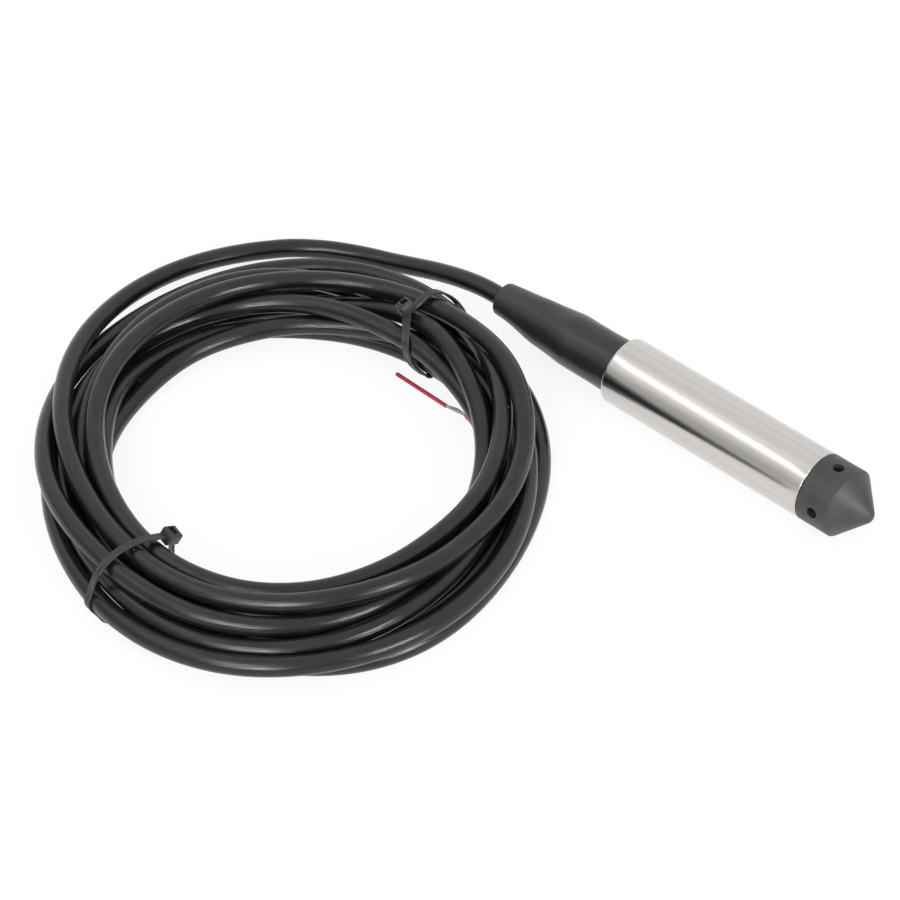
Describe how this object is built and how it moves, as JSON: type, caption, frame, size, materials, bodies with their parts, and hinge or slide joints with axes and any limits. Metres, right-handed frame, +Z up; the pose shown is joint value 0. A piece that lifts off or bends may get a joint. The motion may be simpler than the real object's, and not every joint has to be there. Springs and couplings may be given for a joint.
{
  "type": "submersible level transmitter",
  "caption": "Stainless submersible probe for liquid level with a black inlet cap, a rubber boot and a long black vented cable lying beside it in a tied coil.",
  "frame": {"origin": "on the floor under the middle of the probe, which is measured from the boot's rear end to the nose tip without the free cable", "axes": "+X along the probe from the boot to the nose, +Z up from the floor that the probe and the coil lie on"},
  "size_m": [0.3081, 0.2406, 0.028],
  "materials": {
    "steel": "satin, finely brushed round the tube",
    "black_plastic": "moulded, matt",
    "boot_rubber": "smooth satin",
    "seal_rubber": "matt",
    "cable_jacket": "glossy extruded jacket",
    "tie_nylon": "satin moulded nylon",
    "red_insulation": "satin",
    "black_insulation": "satin",
    "tinned_metal": "dull tinned",
    "gold_pins": "plated",
    "circuit_board": "solder resist",
    "white_plastic": "moulded",
    "chip_plastic": "moulded"
  },
  "bodies": {
    "root": {"housing_tube": "steel", "nose_cap": "black_plastic", "rubber_boot": "boot_rubber", "sensor_seat": "steel", "sensor_can": "steel", "sensor_diaphragm": "steel", "sensor_o_ring": "seal_rubber", "retaining_ring": "steel", "sensor_header": "gold_pins", "compensation_board": "circuit_board", "sensor_lead_1": "red_insulation", "sensor_lead_2": "black_insulation", "sensor_lead_3": "black_insulation", "sensor_lead_4": "black_insulation", "amplifier_board": "circuit_board", "board_carrier_front": "white_plastic", "board_carrier_rear": "white_plastic", "signal_chip": "chip_plastic", "filter_capacitor": "tinned_metal", "surge_diode": "chip_plastic", "end_plug": "steel", "end_plug_o_ring": "seal_rubber", "crimp_ring": "steel", "cable_grommet": "seal_rubber", "thrust_washer": "steel", "gland_nut": "steel", "cable_held_end": "cable_jacket", "core_red": "red_insulation", "core_black": "black_insulation", "vent_tube": "white_plastic", "cable_lead": "cable_jacket", "cable_coil": "cable_jacket", "tie_upper": "tie_nylon", "tie_lower": "tie_nylon", "wire_insulation": "red_insulation", "wire_strands": "tinned_metal"}
  },
  "joints": []
}
